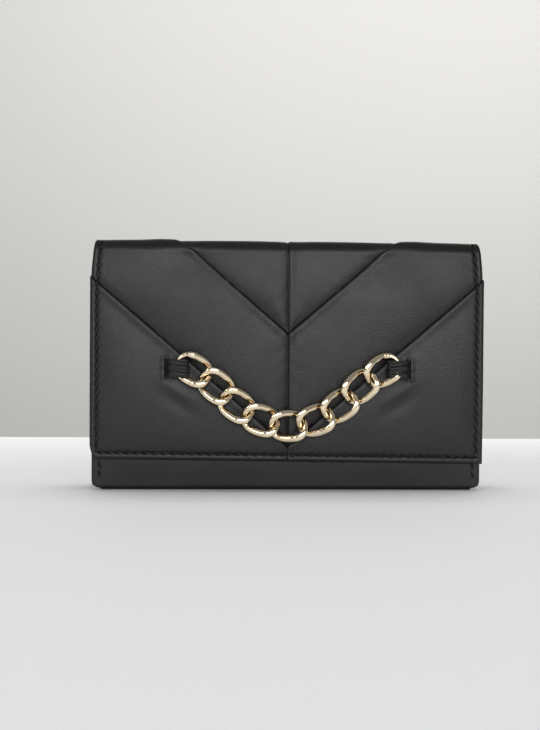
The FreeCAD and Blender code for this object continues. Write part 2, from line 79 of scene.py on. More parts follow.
caseLow, caseHigh = spot("back_panel")
pocketLow, pocketHigh = spot("front_panel")
flapLow = spot("flap_lower_left")[0]
linkLow, linkHigh = spot("chain_link_5")
wallet = {
    "height": cadBox[1][2] / mm, "topRoll": 6.0, "footRoll": 2.0, "leather": 1.6,
    "flapHalf": -flapLow.x, "flapFace": flapLow.y, "flapFoot": flapLow.z,
    "caseHalf": caseHigh.x, "back": caseHigh.y, "front": pocketLow.y,
    "pocketTop": pocketHigh.z, "backSeam": 5.5, "spineHalf": spot("spine_leather")[1].x,
    "chainPlane": (linkLow.y + linkHigh.y) / 2, "cornerRound": 4.0,
}
wallet["rollFoot"] = wallet["height"] - wallet["topRoll"]    # height where the top folds begin


def finished(bm, name):
    # a bmesh in millimetres becomes an object in metres that sits at the origin
    bmesh.ops.scale(bm, vec=(mm, mm, mm), verts=bm.verts)
    mesh = bpy.data.meshes.new(name)
    bm.to_mesh(mesh)
    bm.free()
    mesh.shade_smooth()
    piece = bpy.data.objects.new(name, mesh)
    bpy.context.collection.objects.link(piece)
    return piece


# the planes are in millimetres, the camera's place and aim in metres
room = {
    "floorBack": 340, "floorSize": (5000, 3000), "floorHeight": -0.2, "floorTone": (0.80, 0.80, 0.80),
    "wallPlace": 1550, "wallSize": (9000, 5000), "wallMiddle": 600, "wallTone": (0.66, 0.65, 0.625),
    "lens": 60.0, "distance": 0.585, "swing": 3.5, "eyeHeight": 0.067, "aimHeight": 0.0603,
    "aimLeft": 0.0087, "lean": 0.4, "sky": (0.96, 0.98, 1.0), "skyStrength": 0.24,
}


def plainMaterial(name, tone, rough):
    material = bpy.data.materials.new(name)
    material.use_nodes = True
    shader = material.node_tree.nodes["Principled BSDF"]
    shader.inputs["Base Color"].default_value = (*tone, 1)
    shader.inputs["Roughness"].default_value = rough
    return material


def makePlane(name, width, depth, place, tilt, material):
    bm = bmesh.new()
    bmesh.ops.create_grid(bm, x_segments=1, y_segments=1, size=0.5)
    bmesh.ops.scale(bm, vec=(width, depth, 1), verts=bm.verts)
    bmesh.ops.rotate(bm, matrix=Matrix.Rotation(tilt, 3, "X"), verts=bm.verts)
    bmesh.ops.translate(bm, vec=place, verts=bm.verts)
    plane = finished(bm, name)
    plane.data.materials.append(material)


def setRoom():
    floorMiddle = (0, room["floorBack"] - room["floorSize"][1] / 2, room["floorHeight"])
    floor = plainMaterial("paleFloor", room["floorTone"], 0.75)
    makePlane("floor", *room["floorSize"], floorMiddle, 0, floor)
    wallMiddle = (0, room["wallPlace"], room["wallMiddle"])
    wall = plainMaterial("paleWall", room["wallTone"], 0.9)
    makePlane("backdrop", *room["wallSize"], wallMiddle, math.radians(90), wall)
    world = bpy.data.worlds.new("studio")
    bpy.context.scene.world = world
    world.use_nodes = True
    sky = world.node_tree.nodes["Background"]
    sky.inputs["Color"].default_value = (*room["sky"], 1)
    sky.inputs["Strength"].default_value = room["skyStrength"]
    bpy.context.scene.view_settings.view_transform = "Standard"


def addLamp(name, place, target, size, power, mirrored=True):
    lamp = bpy.data.lights.new(name, "AREA")
    lamp.shape = "RECTANGLE"
    lamp.size, lamp.size_y = size
    lamp.energy = power
    holder = bpy.data.objects.new(name, lamp)
    holder.visible_glossy = mirrored
    holder.location = place
    holder.rotation_euler = (Vector(target) - Vector(place)).to_track_quat("-Z", "Y").to_euler()
    bpy.context.collection.objects.link(holder)


def setCamera():
    swing = math.radians(room["swing"])
    middle = Vector((0, wallet["flapFace"] * mm, 0))
    toCamera = Vector((-math.sin(swing), -math.cos(swing), 0))
    sideways = Vector((math.cos(swing), -math.sin(swing), 0))
    eye = middle + toCamera * room["distance"] + Vector((0, 0, room["eyeHeight"]))
    aim = middle - sideways * room["aimLeft"] + Vector((0, 0, room["aimHeight"]))
    camera = bpy.data.cameras.new("camera")
    camera.sensor_width = 36
    camera.lens = room["lens"]
    holder = bpy.data.objects.new("camera", camera)
    holder.location = eye
    look = (aim - eye).to_track_quat("-Z", "Y").to_matrix()
    lean = Matrix.Rotation(math.radians(room["lean"]), 3, "Z")
    holder.rotation_euler = (look @ lean).to_euler()
    bpy.context.collection.objects.link(holder)
    bpy.context.scene.camera = holder


setRoom()
addLamp("keyLamp", (0.14, -1.50, 0.40), (0, 0, 0.07), (1.0, 0.40), 6.8)
addLamp("fillLamp", (-0.95, -1.15, 0.60), (0, 0, 0.06), (0.5, 0.5), 2.5)
addLamp("topLamp", (0.1, 0.25, 2.0), (0.1, 0.25, 0), (1.8, 1.4), 28, mirrored=False)
addLamp("wallLamp", (0.45, 0.5, 0.8), (0.30, 1.55, 0.35), (2.0, 0.6), 11, mirrored=False)
setCamera()
print("room: floor, backdrop, four lamps and the camera")


def newGroup(name, inputs, outputs):
    group = bpy.data.node_groups.new(name, "ShaderNodeTree")
    for label, kind, value in inputs:
        socket = group.interface.new_socket(name=label, in_out="INPUT", socket_type="NodeSocket" + kind)
        if value is not None:
            socket.default_value = value
    for label, kind in outputs:
        group.interface.new_socket(name=label, in_out="OUTPUT", socket_type="NodeSocket" + kind)
    return group, group.nodes.new("NodeGroupInput"), group.nodes.new("NodeGroupOutput")


def addNode(tree, kind, values=None, **settings):
    node = tree.nodes.new("ShaderNode" + kind)
    for key, value in settings.items():
        setattr(node, key, value)
    for key, value in (values or {}).items():
        node.inputs[key].default_value = value
    return node


def grainGroup():
    # pebbled skin: small cells, fine creases and slow patches
    group, given, result = newGroup(
        "leatherGrain",
        [("Vector", "Vector", None), ("Cells", "Float", 1500.0), ("Creases", "Float", 0.5)],
        [("Height", "Float"), ("Patches", "Float")])
    link = group.links.new
    cells = addNode(group, "TexVoronoi", {"Randomness": 1.0})
    link(given.outputs["Vector"], cells.inputs["Vector"])
    link(given.outputs["Cells"], cells.inputs["Scale"])
    creases = addNode(group, "TexNoise", {"Scale": 420.0, "Detail": 4.0, "Roughness": 0.6})
    link(given.outputs["Vector"], creases.inputs["Vector"])
    weighed = addNode(group, "Math", operation="MULTIPLY")
    link(creases.outputs["Fac"], weighed.inputs[0])
    link(given.outputs["Creases"], weighed.inputs[1])
    total = addNode(group, "Math", operation="ADD")
    link(cells.outputs["Distance"], total.inputs[0])
    link(weighed.outputs[0], total.inputs[1])
    link(total.outputs[0], result.inputs["Height"])
    patches = addNode(group, "TexNoise", {"Scale": 38.0, "Detail": 3.0, "Roughness": 0.55})
    link(given.outputs["Vector"], patches.inputs["Vector"])
    link(patches.outputs["Fac"], result.inputs["Patches"])
    return group


def weaveGroup():
    # plain weave: crossed threads and a slow mottling
    group, given, result = newGroup(
        "plainWeave",
        [("Vector", "Vector", None), ("Threads", "Float", 900.0)],
        [("Height", "Float"), ("Mottle", "Float")])
    link = group.links.new
    rows = []
    for axis in ("X", "Z"):
        wave = addNode(group, "TexWave", {"Distortion": 0.6, "Detail": 1.0}, bands_direction=axis)
        link(given.outputs["Vector"], wave.inputs["Vector"])
        link(given.outputs["Threads"], wave.inputs["Scale"])
        rows.append(wave)
    crossed = addNode(group, "Math", operation="MAXIMUM")
    link(rows[0].outputs["Fac"], crossed.inputs[0])
    link(rows[1].outputs["Fac"], crossed.inputs[1])
    link(crossed.outputs[0], result.inputs["Height"])
    mottle = addNode(group, "TexNoise", {"Scale": 160.0, "Detail": 4.0})
    link(given.outputs["Vector"], mottle.inputs["Vector"])
    link(mottle.outputs["Fac"], result.inputs["Mottle"])
    return group


def wearGroup():
    # handling marks: soft smudges and fine hairlines
    group, given, result = newGroup(
        "handlingMarks",
        [("Vector", "Vector", None), ("Size", "Float", 90.0)],
        [("Smudge", "Float"), ("Hairlines", "Float")])
    link = group.links.new
    smudge = addNode(group, "TexNoise", {"Detail": 5.0, "Roughness": 0.6})
    link(given.outputs["Vector"], smudge.inputs["Vector"])
    link(given.outputs["Size"], smudge.inputs["Scale"])
    link(smudge.outputs["Fac"], result.inputs["Smudge"])
    stretch = addNode(group, "Mapping", {"Scale": (1.0, 1.0, 9.0)})
    link(given.outputs["Vector"], stretch.inputs["Vector"])
    lines = addNode(group, "TexNoise", {"Scale": 900.0, "Detail": 2.0})
    link(stretch.outputs["Vector"], lines.inputs["Vector"])
    link(lines.outputs["Fac"], result.inputs["Hairlines"])
    return group


groups = {"grain": grainGroup(), "weave": weaveGroup(), "wear": wearGroup()}


def startMaterial(name, rough, metal=0.0):
    material = bpy.data.materials.new(name)
    material.use_nodes = True
    tree = material.node_tree
    shader = tree.nodes["Principled BSDF"]
    shader.inputs["Roughness"].default_value = rough
    shader.inputs["Metallic"].default_value = metal
    place = addNode(tree, "TexCoord")
    return material, tree, shader, place.outputs["Object"]


def placeGroup(tree, key, vector, **values):
    node = addNode(tree, "Group")
    node.node_tree = groups[key]
    tree.links.new(vector, node.inputs["Vector"])
    for label, value in values.items():
        node.inputs[label].default_value = value
    return node


def spread(tree, value, low, high, start=0.3, stop=0.7):
    # a value between start and stop becomes one between low and high
    node = addNode(tree, "MapRange", {"From Min": start, "From Max": stop, "To Min": low, "To Max": high})
    tree.links.new(value, node.inputs["Value"])
    return node.outputs["Result"]


def tint(tree, value, dark, light, shader):
    mix = addNode(tree, "Mix", data_type="RGBA")
    mix.inputs["A"].default_value = (*dark, 1)
    mix.inputs["B"].default_value = (*light, 1)
    tree.links.new(value, mix.inputs["Factor"])
    tree.links.new(mix.outputs["Result"], shader.inputs["Base Color"])


def bumpFrom(tree, height, depth, shader, strength=0.6):
    bump = addNode(tree, "Bump", {"Distance": depth, "Strength": strength})
    tree.links.new(height, bump.inputs["Height"])
    tree.links.new(bump.outputs["Normal"], shader.inputs["Normal"])


def leatherMaterial(name, dark, light, rough, depth=0.00003):
    material, tree, shader, vector = startMaterial(name, rough)
    grain = placeGroup(tree, "grain", vector)
    patches = grain.outputs["Patches"]
    tint(tree, spread(tree, patches, 0.0, 1.0), dark, light, shader)
    tree.links.new(spread(tree, patches, rough - 0.04, rough + 0.05), shader.inputs["Roughness"])
    bumpFrom(tree, grain.outputs["Height"], depth, shader)
    return material


def fabricMaterial(name, dark, light, threads, rough=0.85, depth=0.00008):
    material, tree, shader, vector = startMaterial(name, rough)
    weave = placeGroup(tree, "weave", vector, Threads=threads)
    tint(tree, spread(tree, weave.outputs["Mottle"], 0.0, 1.0), dark, light, shader)
    bumpFrom(tree, weave.outputs["Height"], depth, shader)
    return material


def metalMaterial(name, dark, light, rough, depth=0.000004):
    material, tree, shader, vector = startMaterial(name, rough, 1.0)
    wear = placeGroup(tree, "wear", vector)
    smudge = wear.outputs["Smudge"]
    tint(tree, spread(tree, smudge, 0.0, 1.0), dark, light, shader)
    tree.links.new(spread(tree, smudge, rough - 0.03, rough + 0.05), shader.inputs["Roughness"])
    bumpFrom(tree, wear.outputs["Hairlines"], depth, shader, 0.35)
    return material


finishes = {
    "black_leather": leatherMaterial(
        "blackLeather", (0.0050, 0.0050, 0.0048), (0.0090, 0.0088, 0.0084), 0.40, 0.00009),
    "inner_leather": leatherMaterial("innerLeather", (0.016, 0.015, 0.015), (0.024, 0.023, 0.022), 0.55),
    "lining_fabric": fabricMaterial("liningFabric", (0.030, 0.028, 0.027), (0.052, 0.048, 0.045), 700.0),
    "stiffener_board": fabricMaterial("stiffenerBoard", (0.016, 0.015, 0.014), (0.026, 0.024, 0.023), 300.0),
    "thread": fabricMaterial("waxedThread", (0.0015, 0.0015, 0.0015), (0.003, 0.003, 0.003), 2400.0, 0.95),
    "zip_tape": fabricMaterial("zipTape", (0.015, 0.015, 0.016), (0.028, 0.028, 0.029), 1100.0),
    "zip_metal": metalMaterial("zipMetal", (0.62, 0.45, 0.20), (0.78, 0.60, 0.32), 0.30),
    "snap_metal": metalMaterial("snapMetal", (0.60, 0.44, 0.21), (0.76, 0.58, 0.31), 0.26),
    "chain_gold": metalMaterial("chainGold", (0.94, 0.77, 0.53), (0.99, 0.85, 0.63), 0.10),
}


def dress(piece, slot):
    piece.data.materials.clear()
    piece.data.materials.append(finishes[slot])


for entry in frame["record"]["subparts"]:
    cadPiece = frame["nodes"][entry["node"]]
    cadPiece.data.materials.clear()
    cadPiece.data.materials.append(finishes[entry["material_slot"]])
print("finishes:", ", ".join(finishes))


def flatSheet(width, length, step, left=None, start=0.0):
    # a flat sheet: x across, y along
    bm = bmesh.new()
    across = max(1, round(width / step))
    bmesh.ops.create_grid(bm, x_segments=across, y_segments=max(1, round(length / step)), size=0.5)
    bmesh.ops.scale(bm, vec=(width, length, 1), verts=bm.verts)
    shift = 0 if left is None else left + width / 2
    bmesh.ops.translate(bm, vec=(shift, start + length / 2, 0), verts=bm.verts)
    return bm


def cutLine(bm, point, normal, keep=False):
    # a new row of vertices along a line; keep throws away what lies behind the line
    everything = bm.verts[:] + bm.edges[:] + bm.faces[:]
    bmesh.ops.bisect_plane(bm, geom=everything, dist=0.02, plane_co=(*point, 0), plane_no=(*normal, 0),
                           clear_inner=keep)


def cutRows(bm, point, normal, offsets):
    for offset in offsets:
        cutLine(bm, (point[0] + normal[0] * offset, point[1] + normal[1] * offset), normal)


def thicken(bm):
    # a second layer: the outer one is at z = 1 and the inner one at z = 0
    bmesh.ops.recalc_face_normals(bm, faces=bm.faces)
    if bm.faces[:][0].normal.z < 0:
        bmesh.ops.reverse_faces(bm, faces=bm.faces)
    made = bmesh.ops.extrude_face_region(bm, geom=bm.faces[:])
    outer = [item for item in made["geom"] if isinstance(item, bmesh.types.BMVert)]
    bmesh.ops.translate(bm, vec=(0, 0, 1), verts=outer)
    bmesh.ops.recalc_face_normals(bm, faces=bm.faces)


class Route:
    # a line in a plane made of straight runs and round turns, with its outer side on the left or right
    def __init__(self, start, heading, outer, stretches):
        self.outer = outer
        self.stretches = []
        place = np.array(start, float)
        angle = math.radians(heading)
        travelled = 0.0
        for kind, size, turn in stretches:
            length = size if kind == "run" else size * abs(math.radians(turn))
            self.stretches.append((kind, travelled, length, place.copy(), angle, size, math.radians(turn)))
            place, angle = self.end(self.stretches[-1], length)
            travelled += length
        self.length = travelled

    def end(self, stretch, along):
        kind, before, length, place, angle, size, turn = stretch
        if kind == "run":
            return place + np.array((math.cos(angle), math.sin(angle))) * along, angle
        side = math.copysign(1, turn)
        centre = place + np.array((-math.sin(angle), math.cos(angle))) * size * side
        after = angle + side * along / size
        return centre - np.array((-math.sin(after), math.cos(after))) * size * side, after

    def at(self, s):
        # places and outward directions for an array of distances
        places = np.zeros((len(s), 2))
        outward = np.zeros((len(s), 2))
        for number, stretch in enumerate(self.stretches):
            kind, before, length, place, angle, size, turn = stretch
            last = number == len(self.stretches) - 1
            inside = (s >= before - 1e-9) & ((s < before + length) | last)
            if number == 0:
                inside |= s < before
            along = s[inside] - before
            if kind == "run":
                heading = np.full(along.shape, angle)
                places[inside] = place + np.outer(along, (math.cos(angle), math.sin(angle)))
            else:
                side = math.copysign(1, turn)
                centre = place + np.array((-math.sin(angle), math.cos(angle))) * size * side
                heading = angle + side * along / size
                toCurve = np.stack((-np.sin(heading), np.cos(heading)), axis=1)
                places[inside] = centre - toCurve * size * side
            outward[inside] = np.stack((-np.sin(heading), np.cos(heading)), axis=1) * self.outer
        return places, outward


def smoothStep(value, low, high):
    share = np.clip((value - low) / (high - low), 0, 1)
    return share * share * (3 - 2 * share)


def dome(value, middle, width):
    return np.exp(-((value - middle) / width) ** 2)


def roundedEdge(distance, radius):
    # how far a quarter round edge falls below the face
    inside = np.clip(radius - distance, 0, radius)
    return radius - np.sqrt(radius ** 2 - inside ** 2)


def onSkin(skin, x, s, layer, lift=0.0):
    # points of a skin, from x and the distance s along its route; layer is 1 outside and 0 inside
    distance = skin["shift"](x, s) if "shift" in skin else s
    places, outward = skin["route"].at(distance)
    rise = np.where(layer > 0.5, skin["height"](x, s), skin["inner"](x, s)) + lift
    points = places + outward * rise[:, None]
    across = skin["across"](x, s)
    order = skin.get("order", (0, 1, 2))
    return np.stack((across, points[:, 0], points[:, 1]), axis=1)[:, order] * skin.get("mirror", (1, 1, 1))


def wrap(piece, skin):
    # bends a flat two-layered sheet round its route
    flat = np.zeros(len(piece.data.vertices) * 3)
    piece.data.vertices.foreach_get("co", flat)
    x, s, layer = flat.reshape(-1, 3).T / mm
    bent = onSkin(skin, x, s, layer) * mm
    piece.data.vertices.foreach_set("co", bent.ravel())
    if "mirror" in skin and skin["mirror"][0] < 0:
        piece.data.flip_normals()
    piece.data.update()


def faceOut(piece):
    # a mirrored or folded skin is closed, so its faces can be turned outwards
    bm = bmesh.new()
    bm.from_mesh(piece.data)
    bmesh.ops.recalc_face_normals(bm, faces=bm.faces)
    bm.to_mesh(piece.data)
    bm.free()


stitchLook = {
    "long": 3.3, "wide": 0.95, "thick": 0.5, "slant": 20.0, "pitch": 4.4, "lift": 0.08, "reach": 1.2,
}


def sew(name, skin, spots, body, node=None, slant=1):
    # one piece for a whole seam: a stitch at each (x, s, direction) of the skin
    look = stitchLook
    base = bmesh.new()
    bmesh.ops.create_uvsphere(base, u_segments=6, v_segments=5, radius=0.5)
    bmesh.ops.rotate(base, matrix=Matrix.Rotation(math.pi / 2, 3, "Y"), verts=base.verts)
    bmesh.ops.scale(base, vec=(look["long"], look["wide"], look["thick"]), verts=base.verts)
    stitch = bpy.data.meshes.new("oneStitch")
    base.to_mesh(stitch)
    base.free()
    x, s, way = np.array(spots, float).T
    outer = np.ones(len(x))
    alongX = look["reach"] * (way < 0.5)
    alongS = look["reach"] * (way > 0.5)
    here = onSkin(skin, x, s, outer, look["lift"])
    ahead = onSkin(skin, x + alongX, s + alongS, outer, look["lift"])
    behind = onSkin(skin, x - alongX, s - alongS, outer, look["lift"])
    above = onSkin(skin, x, s, outer, 1.0)
    bm = bmesh.new()
    for place, nextPlace, lastPlace, top in zip(here, ahead, behind, above):
        along = Vector(nextPlace - lastPlace).normalized()
        out = (Vector(top - place) - Vector(top - place).dot(along) * along).normalized()
        turn = Matrix((along, out.cross(along), out)).transposed()
        turn = turn @ Matrix.Rotation(math.radians(look["slant"] * slant), 3, "Z")
        known = len(bm.verts)
        bm.from_mesh(stitch)
        bm.verts.ensure_lookup_table()
        bmesh.ops.transform(bm, matrix=Matrix.Translation(place) @ turn.to_4x4(), verts=bm.verts[known:])
    bpy.data.meshes.remove(stitch)
    piece = finished(bm, name)
    dress(piece, "thread")
    if body:
        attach(piece, body)
    if node:
        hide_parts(node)
    return piece


def seamSpots(start, stop, fixed, direction):
    # evenly pitched stitches from start to stop, across (0) or up (1) the skin
    count = round((stop - start) / stitchLook["pitch"])
    places = [start + (stop - start) * number / count for number in range(count + 1)]
    return [(place, fixed, 0) if direction == 0 else (fixed, place, 1) for place in places]


flapLook = {
    "step": 0.8, "puff": 1.1, "puffReach": 7.0, "rollPuff": 0.35, "stitchInset": 3.4, "edgeRound": 1.3,
    "grooveDeep": 0.22, "holeDeep": 0.65, "grooveWide": 0.72, "rimRise": 0.24, "rimTurn": 3.0,
    "turnedEdge": 0.7, "seamStep": 0.38, "seamDip": 0.65, "topBump": 0.75, "footTuck": 1.3,
    "centreRise": 0.4,
    "footSkew": 1.0, "cornerCut": 2.0, "cornerTall": 7, "cornerFrom": 86, "cornerTo": 95,
    "leanBack": 0.85, "upperNarrow": 0.45, "narrowFrom": 86.0,
    "ripple": 0.15, "pucker": 0.06, "rowSwell": 0.09, "rowReach": 5.5,
    "upperSeam": (61.7, 0.86), "lowerSeam": (7.6, 0.853),
    "slitX": spot("tab_root_right")[0].x, "slitHeight": 58.5, "slitLong": 11.2, "slitDeep": 0.9,
    "slitLip": 0.42, "slitCrease": 0.10, "pullRidge": 0.45, "pullValley": 0.3,
    "edgeRows": (0.08, 0.3, 0.65, 1.2), "grooveRows": (2.6, 3.0, 3.4, 3.8, 4.3),
    "seamRows": (0.1, 0.3, 0.6, 0.95, 1.5),
}
flapRoute = Route((wallet["flapFace"], wallet["flapFoot"]), 90, 1, [
    ("run", wallet["rollFoot"] - wallet["flapFoot"], 0),
    ("turn", wallet["topRoll"], -90),
    ("run", wallet["backSeam"] - wallet["flapFace"] - wallet["topRoll"], 0)])
flapRun = wallet["rollFoot"] - wallet["flapFoot"]
rollLong = math.pi / 2 * wallet["topRoll"]


def seamDistance(x, s, seam):
    # distance above a seam that rises to both sides from the middle
    return (s - seam[0] - seam[1] * np.abs(x)) / math.hypot(1, seam[1])


def flapAcross(x, s):
    # the upper panels are a little narrower, and the flap narrows on towards the top fold
    full = wallet["flapHalf"]
    above = seamDistance(x, s, flapLook["lowerSeam"]) > 0
    low = full - flapLook["upperNarrow"] * above
    half = low - (low - wallet["spineHalf"]) * smoothStep(s, flapLook["narrowFrom"], flapRun + rollLong)
    outside = smoothStep(-x, flapLook["cornerFrom"], flapLook["cornerTo"])
    corner = flapLook["cornerCut"] * np.clip(1 - s / flapLook["cornerTall"], 0, 1) ** 1.5 * outside
    return x * half / full + corner


def flapHeight(x, s):
    look = flapLook
    upper = seamDistance(x, s, look["upperSeam"])
    lower = seamDistance(x, s, look["lowerSeam"])
    side = wallet["flapHalf"] - np.abs(x)
    edge = np.minimum(side, s)
    row = look["stitchInset"]
    onRoll = smoothStep(s, flapRun - 3, flapRun + rollLong)
    # each seam: the lower or right panel is turned over and lies on its neighbour
    far = 99
    middle = (upper < 0) & (lower >= 0)
    under = np.where(upper >= 0, upper, np.where(middle, lower, far))
    over = np.where(middle, -upper, np.where(lower < 0, -lower, far))
    centreUnder = np.where(x < 0, -x, far)
    centreOver = np.where(x >= 0, x, far)
    nearest = np.minimum(np.minimum(under, over), np.abs(x))
    fromRow = np.clip(edge - row, 0, None)
    awayFromRow = 1 - np.exp(-fromRow / look["rowReach"])
    puff = (1 - np.exp(-(nearest / look["puffReach"]) ** 1.1)) * awayFromRow
    thinner = smoothStep(s, flapRun - 26, flapRun + 4)
    total = look["puff"] * puff * (1 - (1 - look["rollPuff"]) * thinner)
    total += look["topBump"] * dome(over, 4, 6) * onRoll * awayFromRow
    for distance in (under, centreUnder):
        total -= look["seamDip"] * np.exp(-distance / 1.5) * (1 - 0.5 * onRoll)
    for distance in (over, centreOver):
        total += look["seamStep"] * dome(distance, 1.3, 1.9) * (1 - 0.5 * onRoll)
        total -= roundedEdge(distance, look["turnedEdge"]) * 1.1
    # puckers along the seams
    along = s * 0.9 + np.abs(x) * 0.62
    pucker = np.sin(along * 0.83 + 0.6) + 0.6 * np.sin(along * 0.47 + 2.1)
    total += look["pucker"] * pucker * np.exp(-nearest / 5) * smoothStep(nearest, 0.3, 2.0)
    # stitch row with its holes, the raised rim outside it and the round edge
    step = np.where(s < side, x, s - row)
    hole = 0.5 - 0.5 * np.cos(2 * np.pi * step / stitchLook["pitch"])
    total -= (look["grooveDeep"] + look["holeDeep"] * hole ** 2) * dome(edge, row, look["grooveWide"])
    total += look["rowSwell"] * (1 - hole) * dome(edge, row + 1.6, 1.1)
    total += look["rimRise"] * dome(edge, 1.7, 1.0) - roundedEdge(edge, look["edgeRound"])
    # the slits that the chain's tabs come out of, with the pull of the chain round them
    slitSide = np.abs(x) - look["slitX"]
    slitAlong = s + wallet["flapFoot"] - look["slitHeight"]
    length = 1 - smoothStep(np.abs(slitAlong), look["slitLong"] * 0.42, look["slitLong"] * 0.6)
    total -= look["slitDeep"] * dome(slitSide, 0, 0.5) * length
    total += look["slitLip"] * (dome(slitSide, 1.6, 1.0) + dome(slitSide, -1.6, 1.0)) * length
    total += look["slitCrease"] * np.sin(slitAlong * 1.5 + 0.5) * dome(slitSide, 0.5, 2.6) * length
    pullLine = slitSide * 0.5 - (slitAlong + 8.5) * 0.87
    pulled = look["pullRidge"] * dome(pullLine, 0, 2.6) - look["pullValley"] * dome(pullLine, 5.5, 3)
    total += pulled * dome(slitSide, -5, 8)
    # slow waves in the filling, and the face leans back below the top fold
    wave = np.sin(x / 13.1 + 1.3) * np.sin(s / 16.3 + 0.4) + 0.7 * np.sin(x / 8.2 + s / 10.7 + 0.9)
    total += look["ripple"] * wave * smoothStep(edge, 3, 14) * smoothStep(nearest, 0, 6) * (1 - 0.7 * onRoll)
    total -= look["leanBack"] * smoothStep(s, flapRun - 22, flapRun + 5) * (1 - 0.8 * onRoll)
    total -= look["footTuck"] * np.clip(1 - s / 50, 0, 1) ** 2
    total += look["centreRise"] * np.exp(-np.abs(x) / 9) * (1 - onRoll) * smoothStep(s, 20, 60)
    total -= 0.8 * roundedEdge(flapRoute.length - s, 0.9)
    return total


def flapInner(x, s):
    # the leather is turned over the board's edge, so the rim is as thick as the whole flap
    edge = np.minimum(wallet["flapHalf"] - np.abs(x), s)
    onFace = 1 - smoothStep(s, flapRun - 4, flapRun)
    turned = (1 - smoothStep(edge, 0.9, 1.15)) * onFace
    return -wallet["leather"] - (flapLook["rimTurn"] - wallet["leather"]) * turned


def flapSkewed(x, s):
    # the flap's lower edge isn't quite level
    return s + flapLook["footSkew"] * (-x / wallet["flapHalf"]) * np.clip(1 - s / flapRun, 0, 1)


flapSkin = {"route": flapRoute, "across": flapAcross, "height": flapHeight, "inner": flapInner,
            "shift": flapSkewed}


def makeFlapPanel(name, side, nodes, above=None, below=None):
    look = flapLook
    half = wallet["flapHalf"]
    bm = flatSheet(half, flapRoute.length, look["step"], 0 if side > 0 else -half)
    for offset in look["edgeRows"] + look["grooveRows"]:
        cutLine(bm, (side * (half - offset), 0), (1, 0))
        cutLine(bm, (0, offset), (0, 1))
    cutRows(bm, (0, 0), (side, 0), look["seamRows"])
    for seam, facing in ((above, 1), (below, -1)):
        if seam is None:
            continue
        size = math.hypot(1, seam[1])
        normal = (-facing * side * seam[1] / size, facing / size)
        cutLine(bm, (0, seam[0]), normal, keep=True)
        cutRows(bm, (0, seam[0]), normal, look["seamRows"])
    thicken(bm)
    piece = finished(bm, name)
    wrap(piece, flapSkin)
    dress(piece, "black_leather")
    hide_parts(*nodes)
    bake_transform(piece)


for sideName, side in (("left", -1), ("right", 1)):
    extra = ["spine_leather"] if side < 0 else []
    makeFlapPanel("flapUpper" + sideName.title(), side, ["flap_upper_" + sideName] + extra,
                  above=flapLook["upperSeam"])
    makeFlapPanel("flapMiddle" + sideName.title(), side, ["flap_middle_" + sideName],
                  above=flapLook["lowerSeam"], below=flapLook["upperSeam"])
    makeFlapPanel("flapLower" + sideName.title(), side, ["flap_lower_" + sideName],
                  below=flapLook["lowerSeam"])
print("flap: six padded leather panels")


rowInset = flapLook["stitchInset"]
rowEnd = wallet["flapHalf"] - rowInset
lapInset = 2.2
columnFoot = rowInset + stitchLook["pitch"]
columnSpace = flapRun + rollLong - columnFoot
columnTop = columnFoot + stitchLook["pitch"] * math.floor(columnSpace / stitchLook["pitch"])
flapSpots = seamSpots(-rowEnd, rowEnd, rowInset, 0)
sew("flapStitchRow", flapSkin, flapSpots, "flap", "flap_stitching", slant=-1)
for sideName, side in (("Left", -1), ("Right", 1)):
    spots = seamSpots(columnFoot, columnTop, side * rowEnd, 1)
    column = sew("flapStitches" + sideName, flapSkin, spots, None, slant=side)
    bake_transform(column)
lapSpots = seamSpots(-rowEnd, rowEnd, flapRoute.length - lapInset, 0)
sew("spineStitchRow", flapSkin, lapSpots, "spine")
print("flap: stitching in its groove")


caseLook = {
    "step": 1.3, "foldStep": 0.3, "stitchInset": 3.7, "stitchFoot": 5.5, "backCount": 23, "pocketCount": 20,
    "grooveDeep": 0.14, "holeDeep": 0.45, "grooveWide": 0.6, "rowSwell": 0.08, "rimRise": 0.14,
    "edgeRound": 1.0, "topRound": 0.9, "puff": 0.45, "ripple": 0.10, "rimTurn": 3.0, "pocketTuck": 0.6,
    "edgeRows": (0.08, 0.3, 0.6, 1.0), "grooveRows": (2.9, 3.3, 3.7, 4.1, 4.5),
    "squeezeFrom": 78.5, "narrowFrom": 112, "narrowTo": 118,
}


def cornerHalf(z):
    # half width of the case, with its lower corners rounded
    size = wallet["cornerRound"]
    below = np.clip(size - z, 0, size)
    return wallet["caseHalf"] - (size - np.sqrt(size ** 2 - below ** 2))


def caseAcross(route):
    def across(x, s):
        places, outward = route.at(s)
        z = places[:, 1]
        start = caseLook["squeezeFrom"]
        narrowed = smoothStep(z, caseLook["narrowFrom"], caseLook["narrowTo"])
        half = cornerHalf(z) - (wallet["caseHalf"] - wallet["spineHalf"]) * narrowed
        share = (half - start) / (wallet["caseHalf"] - start)
        outer = np.sign(x) * (start + (np.abs(x) - start) * share)
        return np.where(np.abs(x) > start, outer, x)
    return across


